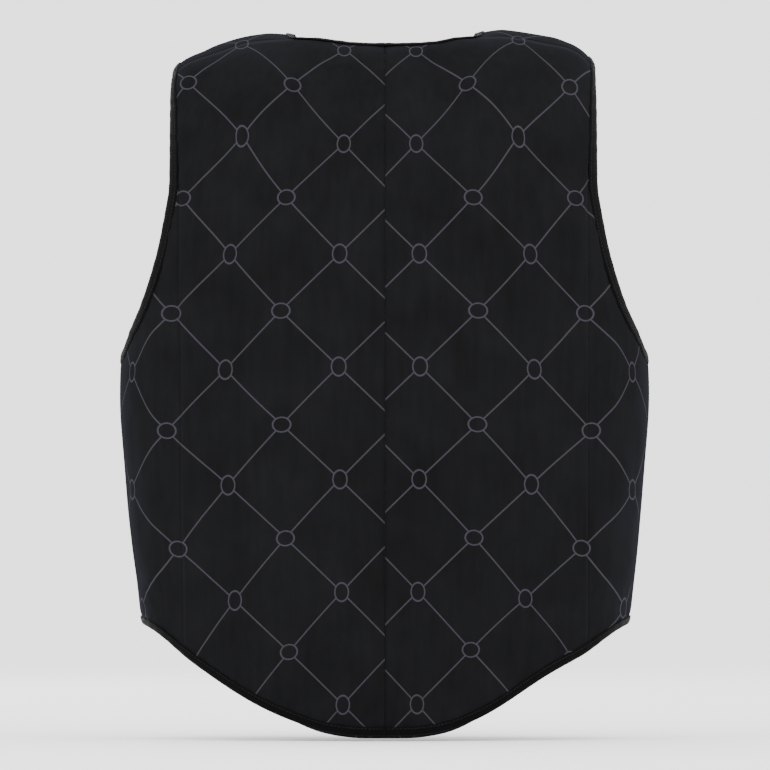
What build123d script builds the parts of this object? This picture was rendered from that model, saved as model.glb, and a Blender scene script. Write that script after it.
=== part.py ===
from build123d import *
import os
from math import cos, hypot, pi, sin

os.makedirs("parts", exist_ok=True)

# A zip-fronted body protector, worn as a vest. All sizes are in millimetres.
# The origin is at the foot of the back hem, on the wearer's mid plane and half way between back and front.
# +Z is up, +Y is towards the wearer's back and +X is towards the wearer's left.

# ---- the form that the finished vest is sewn to ----
# height, half width, depth of the front, depth of the back, all of the outer cover
LEVELS = (
    (0, 197, 118, 108),
    (110, 203.5, 118, 111),
    (220, 212.5, 118, 115),
    (300, 218, 118, 118),
    (380, 216, 118, 118),
    (450, 206, 118, 113),
    (500, 193, 117, 104),
    (530, 184, 104, 94),
    (556, 176, 86, 80),
    (566, 166, 74, 71),
    (575, 152, 60, 60),
    (584, 133, 42, 42),
    (589, 100, 24, 24),
)
ROUNDNESS = 3.4  # power of the superellipse that every level section follows
TOP = LEVELS[-1][0]
# every upright curve passes through the form at these heights, so that the layers stay parallel
CURVE_HEIGHTS = (*range(50, 450, 50), *range(460, TOP, 12))
# the upright sections across the back and the front stand here, closer where the neckline is steep
FLAT_PLACES = (*range(-156, -96, 12), *range(-96, 97, 6), *range(108, 168, 12))

# ---- where the panels end ----
# distance from the mid plane and height of the curved back hem, which is longest at the spine
BACK_HEM = ((0, 2), (30, 3.5), (60, 11), (108, 29), (160, 68), (194, 92), (215, 100), (230, 100))
FRONT_HEM = 96
# distance from the mid plane and height of the arm opening's lower edge
ARM_EDGE = (
    (168, 490),
    (176, 470),
    (181, 442),
    (187, 408),
    (199, 366),
    (210, 341),
    (218, 322),
    (230, 322),
)
ARM_X = 176  # the arm opening's upright edge, on the back and on the front
ARM_UPRIGHT_HEIGHTS = (480, 496, 512)  # where the arm binding passes along that edge
CORNER_X = 167  # where the flat of the back ends and the side begins
BEND = 40  # the flexible strip at the sides and shoulders reaches this far fore and aft
NECK_X = 72
# where the neck binding's points lie, as shares of the neck's half width and of the bend
NECK_BACK_SHARES = (0.02, 0.25, 0.5, 0.7, 0.85, 0.95)
SHOULDER_SHARES = (0.7, 0.35, 0, -0.35, -0.7)
BACK_NECK_Y = 50
FRONT_NECK_Z = 500
SCOOP_DEPTH = 76
SCOOP_SPREAD = 1.3  # a line outside the front neckline is this much wider than its margin alone
ZIP_EDGE = 9  # the front covers stop this far from the mid plane
BINDING_END = 14.6  # the bindings stop this far from the mid plane, at the front
NECK_FRONT_SHARES = (0.97, 0.88, 0.75, 0.6, 0.45, 0.3, BINDING_END / NECK_X)

# ---- how the layers stack, as depths below the outer face ----
COVER = (0, 1.2)
SEAM_TAPE = (1.4, 2.1)
FOAM = (3, 15)
LINING = (15.8, 16.8)
INSIDE_TRIM = (17.4, 18.4)
LABEL_DEPTH = (17.4, 17.9)
GUARD_DEPTH = (17.4, 18.2)
BINDING_DEPTH = (-0.8, 17.2)
BINDING_WIDTH = 7
SKIN_MARGIN = 9
FOAM_MARGIN = 11.5
ARM_FOAM_MARGIN = 14  # round the corners, where the arm opening's edge is steep
LINING_MARGIN = 12
ARM_LINING_MARGIN = 18
LINING_INSET = 1  # the back lining stops this far short of each corner
LINING_ZIP_EDGE = 13
SEAM_GAP = 0.2  # each side of a seam between two panels
BLOCK_GAP = 1.5  # each side of a fold line between two foam blocks

# ---- foam blocks ----
SPINE_X = 58
BLADE_X = 112
ROW_HEIGHTS = (245, 410)
FRONT_FOAM_X = 17
FRONT_COLUMN_X = 96
FRONT_ROW = 300

# ---- trim ----
SEAM_TAPE_X = 8  # half the width of the tape behind the spine seam
LOOP = (30, 548, 555)  # half width, foot and top
LABEL = (20, 505, 535)
GUARD = (-32, 11, 112, 484)  # its two edges, foot and top

# ---- zip ----
ZIP_Y = -115
TAPE = (2.4, 14, 0.8)  # inner edge, outer edge, thickness
TOOTH_PITCH = 3.2
TOOTH = (3.1, 2.4, 1.1)  # across, deep, high
TOOTH_REACH = 0.7  # how far a tooth passes the mid plane
CHAIN = (112, 478)
TAPE_RUN = (110.2, 489)
STOP = (1.6, 2.4, 5)
SLIDER = (11, 6.6, 13)
SLIDER_FOOT = 468.5
PLATE = 1.7  # thickness of the slider's front and back plates
LIP = 0.7
CROWN = (2.4, 4.2, 9)  # across, proud, high
BAR_RADIUS = 0.8
PIVOT = (ZIP_Y - 5.7, 474.6)  # fore-and-aft place and height of the puller's bar
PULLER = (7.2, 1.6, 34)
PULLER_EYE = 7.4
BOX = (9.2, 5.2, 10.6)
BOX_FOOT = 99
PIN = (1.5, 1.4, 11)


def between(table, value, column=1):
    """Read a table of points at a value, along straight lines between its rows."""
    value = min(max(value, table[0][0]), table[-1][0])
    for low, high in zip(table, table[1:]):
        if value <= high[0]:
            share = (value - low[0]) / (high[0] - low[0])
            return low[column] + share * (high[column] - low[column])
    return table[-1][column]


def steepness(row, column):
    """How fast a column of the levels changes at a row, from the rows beside it."""
    low, high = LEVELS[max(row - 1, 0)], LEVELS[min(row + 1, len(LEVELS) - 1)]
    return (high[column] - low[column]) / (high[0] - low[0])


def of_level(z, column=1):
    """A half width or a depth of the form at a height, on a smooth curve through the levels."""
    z = min(max(z, 0), TOP)
    row = max(k for k in range(len(LEVELS) - 1) if LEVELS[k][0] <= z)
    low, high = LEVELS[row], LEVELS[row + 1]
    step = high[0] - low[0]
    t = (z - low[0]) / step
    start, end = steepness(row, column) * step, steepness(row + 1, column) * step
    rise = low[column] - high[column]
    return low[column] + t * (start - t * (3 * rise + 2 * start + end) + t * t * (2 * rise + start + end))


def filled(x, y, z):
    """Below 1 inside the form, 1 on its surface and more outside."""
    depth = of_level(z, 3 if y > 0 else 2)
    return abs(x / of_level(z)) ** ROUNDNESS + abs(y / depth) ** ROUNDNESS


def solve(inside, low, high):
    """Halve the stretch from low, where inside() holds, to high, where it doesn't."""
    for _ in range(40):
        middle = (low + high) / 2
        if inside(middle):
            low = middle
        else:
            high = middle
    return low


class Station:
    """An upright plane that cuts the vest square to its surface, standing on a centre line inside it."""

    def __init__(self, x, y, degrees):
        self.x, self.y, self.degrees = x, y, degrees
        self.dx, self.dy = cos(degrees * pi / 180), sin(degrees * pi / 180)
        self.plane = Plane(origin=(x, y, 0), x_dir=(self.dx, self.dy, 0), z_dir=(self.dy, -self.dx, 0))

    def reach(self, z, depth=0):
        """How far the surface, or a layer below it, stands from the centre line."""
        def skin(height):
            return solve(lambda r: filled(self.x + r * self.dx, self.y + r * self.dy, height) < 1, 0, 300)

        slope = (skin(z + 1) - skin(z - 1)) / 2
        return skin(z) - depth * hypot(1, slope)

    def point(self, z, depth=0):
        r = self.reach(z, depth)
        return self.x + r * self.dx, self.y + r * self.dy, z

    def beside(self, step):
        """A station a little further along: round a corner, along a side, or across the back or front."""
        if abs(self.x) < CORNER_X:
            return Station(self.x + step, self.y, self.degrees)
        if abs(self.y) < BEND:
            return Station(self.x, self.y + step, self.degrees)
        return Station(self.x, self.y, self.degrees + step)

    def arm_edge(self):
        return between(ARM_EDGE, self.point(350)[0])

    def hem(self):
        x, y, _ = self.point(FRONT_HEM)
        return between(BACK_HEM, abs(x)) if y > 0 else FRONT_HEM

    def clearance(self, margin, edge, depth):
        """The height that a margin square to an edge takes up, at a depth."""
        ends = [self.beside(step) for step in (-2, 2)]
        z = edge(self)
        (x1, y1, _), (x2, y2, _) = (end.point(z, depth) for end in ends)
        slope = (edge(ends[1]) - edge(ends[0])) / max(hypot(x2 - x1, y2 - y1), 0.5)
        return margin * hypot(1, slope)


def neck_end(x, margin=0):
    """How far aft of the shoulder line the back neckline lies, or a line at a margin outside it."""
    side = NECK_X + margin
    return BEND + (BACK_NECK_Y + margin - BEND) * (1 - min(abs(x) / side, 1) ** 5)


def neck_scoop(x, margin=0):
    """Height of the front neckline, a scoop that meets the shoulder at the side of the neck."""
    side = NECK_X + SCOOP_SPREAD * margin
    return FRONT_NECK_Z - margin + (SCOOP_DEPTH + margin) * min(abs(x) / side, 1) ** 3


def top_height(station, depth, margin):
    """The height at which a layer of the back or front reaches the neck edge or the shoulder seam."""
    front = station.dy < 0
    room = SEAM_GAP + (BEND if front else neck_end(station.x, margin))
    climb = solve(lambda z: station.reach(z, depth) > room, 300, TOP - 2)
    if not front or station.x >= NECK_X + SCOOP_SPREAD * margin:
        return climb
    scoop = neck_scoop(station.x, margin)
    slope = station.reach(scoop) - station.reach(scoop - 1)
    return min(climb, scoop + depth * slope / hypot(1, slope))


def ridge(x, y):
    """Height of the shoulder's outer face."""
    return solve(lambda z: filled(x, y, z) < 1, 400, TOP)


def lofted(sections):
    """Loft plane outlines, each given by an outer curve and an inner curve that comes back."""
    with BuildPart() as body:
        for plane, outer, inner in sections:
            with BuildSketch(plane):
                with BuildLine():
                    Spline(*outer)
                    Line(outer[-1], inner[0])
                    Spline(*inner)
                    Line(inner[-1], outer[0])
                make_face()
        loft(ruled=True)
    return body.part


def layer(stations, depths, low, high):
    """One layer of a panel, through its stations, from a low edge to a high edge."""
    sections = []
    for station in stations:
        curves = []
        for depth in depths:
            bottom, top = low(station, depth), high(station, depth)
            heights = [z for z in CURVE_HEIGHTS if bottom + 4 < z < top - 4]
            curves.append([(station.reach(z, depth), z) for z in (bottom, *heights, top)])
        sections.append((station.plane, curves[0], curves[1][::-1]))
    return lofted(sections)


def shoulder_layer(x_from, x_to, depths, count=5, steps=6):
    """One layer of the shoulder, an arch from the back to the front, lofted outwards from the neck."""
    ys = [(BEND - SEAM_GAP) * (1 - 2 * k / steps) for k in range(steps + 1)]
    sections = []
    for k in range(count + 1):
        x = x_from + (x_to - x_from) * k / count
        curves = []
        for depth in depths:
            slopes = [(ridge(x, y + 1) - ridge(x, y - 1)) / 2 for y in ys]
            curves.append([(y, ridge(x, y) - depth * hypot(1, s)) for y, s in zip(ys, slopes)])
        plane = Plane(origin=(x, 0, 0), x_dir=(0, 1, 0), z_dir=(1, 0, 0))
        sections.append((plane, curves[0], curves[1][::-1]))
    return lofted(sections)


def flat_stations(x_from, x_to, front=False):
    """Stations across the back, or across the front, at places that every layer shares, and at its ends."""
    xs = [x for x in FLAT_PLACES if x_from + 3 < x < x_to - 3]
    return [Station(x, 0, -90 if front else 90) for x in (x_from, *xs, x_to)]


def corner_stations(first, last, front=False, count=5):
    """Stations round the corner between the side, at no turn, and the back or front, at a quarter turn."""
    sign = -1 if front else 1
    turns = [first + (last - first) * k / count for k in range(count + 1)]
    return [Station(CORNER_X + SEAM_GAP, sign * BEND, sign * turn) for turn in turns]


def side_stations(y_from, y_to, count=4):
    """Stations across the flexible strip at the wearer's left side."""
    return [Station(CORNER_X + SEAM_GAP, y_from + (y_to - y_from) * k / count, 0) for k in range(count + 1)]


def hem_edge(margin):
    """A low edge that keeps clear of the hem."""
    return lambda station, depth: station.hem() + station.clearance(margin, Station.hem, depth)


def arm_edge(margin):
    """A high edge that keeps clear of the arm opening."""
    return lambda station, depth: station.arm_edge() - station.clearance(margin, Station.arm_edge, depth)


def neck_edge(margin):
    """A high edge that keeps clear of the neckline and stops at the shoulder seam."""
    return lambda station, depth: top_height(station, depth, margin)


def level(height):
    """A level edge between two rows of foam."""
    return lambda station, depth: height


def square_in(station):
    """The way into the layers at a station."""
    return -station.dx, -station.dy, 0


def arch_in(x, y, z):
    """The way into the layers on the upper back, the chest and the shoulders, square to the mid plane."""
    step = 0.5
    aft = filled(x, y + step, z) - filled(x, y - step, z)
    up = filled(x, y, min(z + step, TOP)) - filled(x, y, z - step)
    return 0, -aft, -up


def band(path, side, width=BINDING_WIDTH):
    """Binding along an edge. The path holds points on the outer face, each with the way into the layers."""
    points = [Vector(*point) for point, _ in path]
    shallow, deep = BINDING_DEPTH
    with BuildPart() as tape:
        for k, (_, inwards) in enumerate(path):
            along = (points[min(k + 1, len(points) - 1)] - points[max(k - 1, 0)]).normalized()
            inwards = Vector(*inwards)
            inwards = (inwards - along * inwards.dot(along)).normalized()
            with BuildSketch(Plane(origin=points[k], x_dir=inwards, z_dir=along)):
                with BuildLine():
                    Polyline(
                        (shallow, 0),
                        (deep, 0),
                        (deep, side * width),
                        (shallow, side * width),
                        close=True,
                    )
                make_face()
        loft(ruled=True)
    return tape.part


def hem_path():
    """From the spine round the wearer's left side to the zip."""
    stations = flat_stations(1.5, CORNER_X)
    stations += corner_stations(75, 0, count=4)
    stations += side_stations(BEND / 2, -BEND / 2, count=2)
    stations += corner_stations(0, 75, front=True, count=4)
    stations += flat_stations(CORNER_X, BINDING_END, front=True)
    return [(station.point(station.hem()), square_in(station)) for station in stations]


def neck_path():
    """From the spine round the left side of the neck to the zip."""
    path = []
    for share in NECK_BACK_SHARES:
        x = NECK_X * share
        y = neck_end(x)
        path.append((x, y, ridge(x, y)))
    for share in SHOULDER_SHARES:
        y = BEND * share
        path.append((NECK_X, y, min(ridge(NECK_X, y), TOP - 0.5)))
    for share in NECK_FRONT_SHARES:
        station = Station(NECK_X * share, 0, -90)
        path.append(station.point(neck_scoop(station.x)))
    return [(point, arch_in(*point)) for point in path]


def arm_path(sign):
    """From the foot of the left arm opening up to the shoulder, along the back or along the front."""
    stations = side_stations(SEAM_GAP * sign, BEND * 0.6 * sign, count=2)
    stations += corner_stations(8, 78, front=sign < 0, count=6)
    path = [(station.point(station.arm_edge()), square_in(station)) for station in stations]
    upright = Station(ARM_X, 0, 90 * sign)
    for z in ARM_UPRIGHT_HEIGHTS:
        path.append((upright.point(z), square_in(upright)))
    for y in (BEND * 0.8, BEND * 0.4, SEAM_GAP):
        point = (ARM_X, y * sign, ridge(ARM_X, y * sign))
        path.append((point, arch_in(*point)))
    return path


def keep(piece, label):
    """Label a finished piece and write it."""
    piece.part.label = label
    export_step(piece.part, f"parts/{label}.step")


def keep_pair(piece, name):
    """Keep a piece of the wearer's left side, and its mirror image for the right side."""
    keep(piece, f"{name}_left")
    with BuildPart() as twin:
        mirror(piece.part, about=Plane.YZ)
    keep(twin, f"{name}_right")


# ---- covers: the printed outer fabric ----
with BuildPart() as back_cover:
    add(layer(flat_stations(SEAM_GAP, CORNER_X), COVER, hem_edge(SKIN_MARGIN), neck_edge(SKIN_MARGIN)))
keep_pair(back_cover, "back_cover")

AROUND_SIDE = corner_stations(90, 0)
AROUND_SIDE += side_stations(BEND / 2, -BEND / 2, count=2)
AROUND_SIDE += corner_stations(0, 90, front=True)
with BuildPart() as side_cover:
    add(layer(AROUND_SIDE, COVER, hem_edge(SKIN_MARGIN), arm_edge(SKIN_MARGIN + 1)))
keep_pair(side_cover, "side_cover")

with BuildPart() as shoulder_cover:
    add(shoulder_layer(NECK_X + SKIN_MARGIN, CORNER_X, COVER))
keep_pair(shoulder_cover, "shoulder_cover")

with BuildPart() as front_cover:
    add(layer(flat_stations(ZIP_EDGE, CORNER_X, True), COVER, hem_edge(SKIN_MARGIN), neck_edge(SKIN_MARGIN)))
keep_pair(front_cover, "front_cover")

# ---- lining: the mesh next to the wearer ----
with BuildPart() as back_lining:
    across_back = flat_stations(LINING_INSET - CORNER_X, CORNER_X - LINING_INSET)
    add(layer(across_back, LINING, hem_edge(LINING_MARGIN), neck_edge(LINING_MARGIN)))
keep(back_lining, "back_lining")

with BuildPart() as side_lining:
    add(layer(AROUND_SIDE, LINING, hem_edge(LINING_MARGIN), arm_edge(ARM_LINING_MARGIN)))
keep_pair(side_lining, "side_lining")

with BuildPart() as shoulder_lining:
    add(shoulder_layer(NECK_X + SKIN_MARGIN, CORNER_X, LINING))
keep_pair(shoulder_lining, "shoulder_lining")

with BuildPart() as front_lining:
    across_front = flat_stations(LINING_ZIP_EDGE, CORNER_X, True)
    add(layer(across_front, LINING, hem_edge(LINING_MARGIN), neck_edge(LINING_MARGIN)))
keep_pair(front_lining, "front_lining")

# ---- foam: separate blocks, so that the vest folds between them ----
ROWS = (
    (hem_edge(FOAM_MARGIN), level(ROW_HEIGHTS[0] - BLOCK_GAP)),
    (level(ROW_HEIGHTS[0] + BLOCK_GAP), level(ROW_HEIGHTS[1] - BLOCK_GAP)),
    (level(ROW_HEIGHTS[1] + BLOCK_GAP), neck_edge(FOAM_MARGIN)),
)
ROW_NAMES = ("lower", "middle", "upper")

for row_name, (low, high) in zip(ROW_NAMES, ROWS):
    with BuildPart() as spine_foam:
        add(layer(flat_stations(-SPINE_X + BLOCK_GAP, SPINE_X - BLOCK_GAP), FOAM, low, high))
    keep(spine_foam, f"spine_foam_{row_name}")

HALF_ROWS = (ROWS[0], (ROWS[1][0], ROWS[2][1]))
COLUMNS = (
    ("inner", SPINE_X + BLOCK_GAP, BLADE_X - BLOCK_GAP),
    ("outer", BLADE_X + BLOCK_GAP, CORNER_X - BLOCK_GAP),
)
for column_name, x_from, x_to in COLUMNS:
    for row_name, (low, high) in zip(("lower", "upper"), HALF_ROWS):
        with BuildPart() as back_foam:
            add(layer(flat_stations(x_from, x_to), FOAM, low, high))
        keep_pair(back_foam, f"back_foam_{column_name}_{row_name}")

for place, front in (("back", False), ("front", True)):
    with BuildPart() as corner_foam:
        around_corner = corner_stations(86, 2, front)
        add(layer(around_corner, FOAM, hem_edge(FOAM_MARGIN), arm_edge(ARM_FOAM_MARGIN)))
    keep_pair(corner_foam, f"corner_foam_{place}")

with BuildPart() as side_foam:
    across_side = side_stations(BEND - BLOCK_GAP, BLOCK_GAP - BEND)
    add(layer(across_side, FOAM, hem_edge(FOAM_MARGIN), arm_edge(FOAM_MARGIN)))
keep_pair(side_foam, "side_foam")

with BuildPart() as shoulder_foam:
    add(shoulder_layer(NECK_X + FOAM_MARGIN, CORNER_X - BLOCK_GAP, FOAM))
keep_pair(shoulder_foam, "shoulder_foam")

FRONT_ROWS = (
    ("lower", hem_edge(FOAM_MARGIN), level(FRONT_ROW - BLOCK_GAP)),
    ("upper", level(FRONT_ROW + BLOCK_GAP), neck_edge(FOAM_MARGIN)),
)
FRONT_COLUMNS = (
    ("inner", FRONT_FOAM_X, FRONT_COLUMN_X - BLOCK_GAP),
    ("outer", FRONT_COLUMN_X + BLOCK_GAP, CORNER_X - BLOCK_GAP),
)
for column_name, x_from, x_to in FRONT_COLUMNS:
    for row_name, low, high in FRONT_ROWS:
        with BuildPart() as front_foam:
            add(layer(flat_stations(x_from, x_to, True), FOAM, low, high))
        keep_pair(front_foam, f"front_foam_{column_name}_{row_name}")

# ---- bindings: the black edge tape ----
with BuildPart() as hem_binding:
    add(band(hem_path(), -1))
keep_pair(hem_binding, "hem_binding")

with BuildPart() as neck_binding:
    add(band(neck_path(), 1))
keep_pair(neck_binding, "neck_binding")

with BuildPart() as arm_binding:
    add(band(arm_path(1), -1))
    add(band(arm_path(-1), 1))
keep_pair(arm_binding, "arm_binding")

# ---- trim inside the back ----
with BuildPart() as back_seam_tape:
    across_seam = flat_stations(-SEAM_TAPE_X, SEAM_TAPE_X)
    add(layer(across_seam, SEAM_TAPE, hem_edge(SKIN_MARGIN), neck_edge(SKIN_MARGIN)))
keep(back_seam_tape, "back_seam_tape")

with BuildPart() as hanging_loop:
    add(layer(flat_stations(-LOOP[0], LOOP[0]), INSIDE_TRIM, level(LOOP[1]), level(LOOP[2])))
keep(hanging_loop, "hanging_loop")

with BuildPart() as blank_label:
    add(layer(flat_stations(-LABEL[0], LABEL[0]), LABEL_DEPTH, level(LABEL[1]), level(LABEL[2])))
keep(blank_label, "blank_label")

with BuildPart() as zip_guard:
    add(layer(flat_stations(*GUARD[:2], front=True), GUARD_DEPTH, level(GUARD[2]), level(GUARD[3])))
keep(zip_guard, "zip_guard")

# ---- zip ----
with BuildPart() as zip_tape:
    with BuildSketch(Plane.XY.offset(TAPE_RUN[0])):
        with Locations(((TAPE[0] + TAPE[1]) / 2, ZIP_Y)):
            Rectangle(TAPE[1] - TAPE[0], TAPE[2])
    extrude(amount=TAPE_RUN[1] - TAPE_RUN[0])
keep_pair(zip_tape, "zip_tape")

TOOTH_COUNT = int((CHAIN[1] - CHAIN[0]) / TOOTH_PITCH)
for side_name, side, lift in (("left", 1, 0.5), ("right", -1, 1)):
    heights = [CHAIN[0] + TOOTH_PITCH * (k + lift) for k in range(TOOTH_COUNT)]
    with BuildPart() as zip_teeth:
        with Locations([(side * (TOOTH[0] / 2 - TOOTH_REACH), ZIP_Y, z) for z in heights]):
            Box(*TOOTH)
        with Locations((side * (TAPE[0] - STOP[0] / 2), ZIP_Y, TAPE_RUN[1] - STOP[2] / 2)):
            Box(*STOP)
    keep(zip_teeth, f"zip_teeth_{side_name}")

SLIDER_MIDDLE = (0, ZIP_Y, SLIDER_FOOT + SLIDER[2] / 2)
with BuildPart() as zip_slider:
    with Locations(SLIDER_MIDDLE):
        Box(*SLIDER)
    fillet(zip_slider.edges().filter_by(Axis.Y), radius=2)
    fillet(zip_slider.faces().sort_by(Axis.Y)[0].edges(), radius=0.5)
    # the channel that the two rows of teeth run in, open at both ends
    channel = SLIDER[1] - 2 * PLATE
    with Locations(SLIDER_MIDDLE):
        Box(SLIDER[0] - 4, channel, SLIDER[2] + 1, mode=Mode.SUBTRACT)
        Box(SLIDER[0] + 1, channel - 2 * LIP, SLIDER[2] + 1, mode=Mode.SUBTRACT)
    # the post that spreads the rows, above the last closed tooth
    with Locations((0, ZIP_Y, SLIDER_FOOT + SLIDER[2] - 1.2)):
        Box(2, channel + 0.2, 2)
    # the crown that holds the puller's bar
    crown_y = ZIP_Y - SLIDER[1] / 2 - CROWN[1] / 2 + 0.1
    with Locations((0, crown_y, PIVOT[1])):
        Box(*CROWN)
        Box(CROWN[0] + 1, CROWN[1] - 1, CROWN[2] - 2.4, mode=Mode.SUBTRACT)
    fillet(zip_slider.faces().sort_by(Axis.Y)[0].edges().filter_by(Axis.X), radius=0.6)
keep(zip_slider, "zip_slider")

with BuildPart() as zip_puller:
    with BuildSketch(Plane.XZ.offset(-PIVOT[0] - PULLER[1] / 2)):
        with Locations((0, PIVOT[1] - PULLER[2] / 2 + BAR_RADIUS)):
            RectangleRounded(PULLER[0], PULLER[2], 2)
        with Locations((0, PIVOT[1] - BAR_RADIUS - PULLER_EYE / 2)):
            RectangleRounded(CROWN[0] + 1.6, PULLER_EYE, 0.8, mode=Mode.SUBTRACT)
        with Locations((0, PIVOT[1] - PULLER[2] + 6)):
            Circle(1.6, mode=Mode.SUBTRACT)
    extrude(amount=PULLER[1])
keep(zip_puller, "zip_puller")

with BuildPart() as retainer_box:
    with Locations((0, ZIP_Y, BOX_FOOT + BOX[2] / 2)):
        Box(*BOX)
    fillet(retainer_box.edges().filter_by(Axis.Z), radius=1)
    with Locations((TAPE[0] - PIN[0] / 2, ZIP_Y, BOX_FOOT + BOX[2] / 2 + 1)):
        Box(PIN[0] + 0.6, PIN[1] + 0.6, BOX[2], mode=Mode.SUBTRACT)
keep(retainer_box, "zip_retainer_box")

with BuildPart() as insertion_pin:
    with Locations((TAPE[0] - PIN[0] / 2, ZIP_Y, BOX_FOOT + 1.4 + PIN[2] / 2)):
        Box(*PIN)
    chamfer(insertion_pin.faces().sort_by(Axis.Z)[0].edges(), length=0.4)
keep(insertion_pin, "zip_insertion_pin")
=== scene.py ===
from math import cos, pi, sin

import bmesh
import bpy
import numpy as np
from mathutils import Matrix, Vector


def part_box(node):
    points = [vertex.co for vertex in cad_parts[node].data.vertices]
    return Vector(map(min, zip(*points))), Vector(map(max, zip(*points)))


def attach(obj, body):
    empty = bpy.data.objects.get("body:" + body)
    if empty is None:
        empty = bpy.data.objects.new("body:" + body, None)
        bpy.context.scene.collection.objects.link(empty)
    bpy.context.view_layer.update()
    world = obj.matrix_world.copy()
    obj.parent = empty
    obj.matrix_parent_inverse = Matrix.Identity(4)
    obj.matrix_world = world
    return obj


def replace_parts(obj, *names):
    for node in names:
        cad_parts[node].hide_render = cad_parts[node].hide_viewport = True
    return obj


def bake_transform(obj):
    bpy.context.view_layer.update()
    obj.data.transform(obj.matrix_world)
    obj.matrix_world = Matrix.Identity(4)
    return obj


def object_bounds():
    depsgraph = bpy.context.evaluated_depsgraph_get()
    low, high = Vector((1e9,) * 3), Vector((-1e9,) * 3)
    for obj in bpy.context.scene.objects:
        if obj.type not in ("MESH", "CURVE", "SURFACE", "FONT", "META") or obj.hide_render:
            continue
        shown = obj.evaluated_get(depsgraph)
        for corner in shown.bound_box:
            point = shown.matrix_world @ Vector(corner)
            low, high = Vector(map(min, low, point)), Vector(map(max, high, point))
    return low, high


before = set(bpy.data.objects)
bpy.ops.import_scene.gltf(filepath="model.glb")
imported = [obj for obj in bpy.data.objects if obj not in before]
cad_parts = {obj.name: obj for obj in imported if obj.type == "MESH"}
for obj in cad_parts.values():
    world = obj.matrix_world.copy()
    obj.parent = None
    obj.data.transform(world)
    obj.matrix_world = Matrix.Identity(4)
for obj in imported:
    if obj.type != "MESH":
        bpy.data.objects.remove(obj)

# A zip-fronted body protector, seen from behind. Everything is in metres, in the frame's own axes:
# +Z is up, +Y is towards the wearer's back and +X is towards the wearer's left.
CAD_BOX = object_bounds()
MM = 0.001

# ---- the form that the vest is sewn to, as in the frame ----
# height, half width, depth of the front, depth of the back. The last row domes the shoulders.
LEVELS = MM * np.array(
    (
        (0, 197, 118, 108),
        (110, 203.5, 118, 111),
        (220, 212.5, 118, 115),
        (300, 218, 118, 118),
        (380, 216, 118, 118),
        (450, 206, 118, 113),
        (500, 193, 117, 104),
        (530, 184, 104, 94),
        (556, 176, 86, 80),
        (566, 166, 74, 71),
        (575, 152, 60, 60),
        (584, 133, 42, 42),
        (589, 100, 24, 24),
        (591, 60, 10, 10),
    )
)
ROUNDNESS = 3.4
TOP = LEVELS[-1, 0]
WIDEST_Z, WIDEST_X = LEVELS[3, :2]
BACK_HEM = MM * np.array(
    ((-30, 6.2), (0, 5.4), (30, 6.2), (60, 12), (108, 32), (160, 65.5), (194, 92), (215, 100), (230, 100))
)
FRONT_HEM = 96 * MM
ARM_EDGE = MM * np.array(
    ((160, 510), (168, 490), (176, 470), (181, 442), (187, 408), (199, 366), (210, 341), (218, 323), (230, 322))
)
ARM_EDGE_AT = 350 * MM  # where a station's place across is measured, to find its arm edge
ARM_X = 176 * MM
ARM_STRAIGHT = (484 * MM, 540 * MM)  # between these heights the arm opening's edge stands upright
COVER_X = ARM_X - 2 * MM  # how far out the covers reach beside the arm openings
CORNER_X = 167.2 * MM
FLARE_X = 120 * MM  # from here out, the covers widen beside the arm openings
FLARE_HEIGHTS = (476 * MM, 494 * MM)
BEND = 40 * MM
NECK_X = 72 * MM
NECK_BOW = 3.5 * MM  # how much wider the neck opening is half way along the shoulders
BACK_NECK_Y = 49 * MM
FRONT_NECK_Z = 500 * MM
ZIP_EDGE = 9 * MM
BINDING_END = 14.6 * MM
STEP = 3 * MM  # how far apart the points of a fabric panel lie


# ---------------------------------------------------------------- the form
def smooth(table, value, column=1):
    """Read a table at a value, on a smooth curve through its rows."""
    keys, values = table[:, 0], table[:, column]
    value = np.clip(value, keys[0], keys[-1])
    row = np.clip(np.searchsorted(keys, value, side="right") - 1, 0, len(keys) - 2)
    places = np.arange(len(keys))
    low, high = np.maximum(places - 1, 0), np.minimum(places + 1, len(keys) - 1)
    slopes = (values[high] - values[low]) / (keys[high] - keys[low])
    step = keys[row + 1] - keys[row]
    t = (value - keys[row]) / step
    start, end = slopes[row] * step, slopes[row + 1] * step
    rise = values[row] - values[row + 1]
    return values[row] + t * (start - t * (3 * rise + 2 * start + end) + t * t * (2 * rise + start + end))


def filled(x, y, z):
    """Below 1 inside the form, 1 on its surface and more outside."""
    depth = np.where(np.asarray(y) > 0, smooth(LEVELS, z, 3), smooth(LEVELS, z, 2))
    return np.abs(x / smooth(LEVELS, z)) ** ROUNDNESS + np.abs(y / depth) ** ROUNDNESS


def solve(inside, low, high, like):
    """Halve the stretch from low, where inside() holds, to high, for every place at once."""
    low, high = np.full(np.shape(like), float(low)), np.full(np.shape(like), float(high))
    for _ in range(34):
        middle = (low + high) / 2
        held = inside(middle)
        low, high = np.where(held, middle, low), np.where(held, high, middle)
    return low


def outward(points):
    """The form's outward normals at points on it."""
    d = 0.5 * MM
    x, y, z = np.moveaxis(points, -1, 0)
    up = filled(x, y, np.minimum(z + d, TOP)) - filled(x, y, np.minimum(z, TOP - d) - d)
    aft = filled(x, y + d, z) - filled(x, y - d, z)
    out = filled(x + d, y, z) - filled(x - d, y, z)
    normals = np.stack((out, aft, up), -1)
    return normals / np.linalg.norm(normals, axis=-1, keepdims=True)


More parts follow.
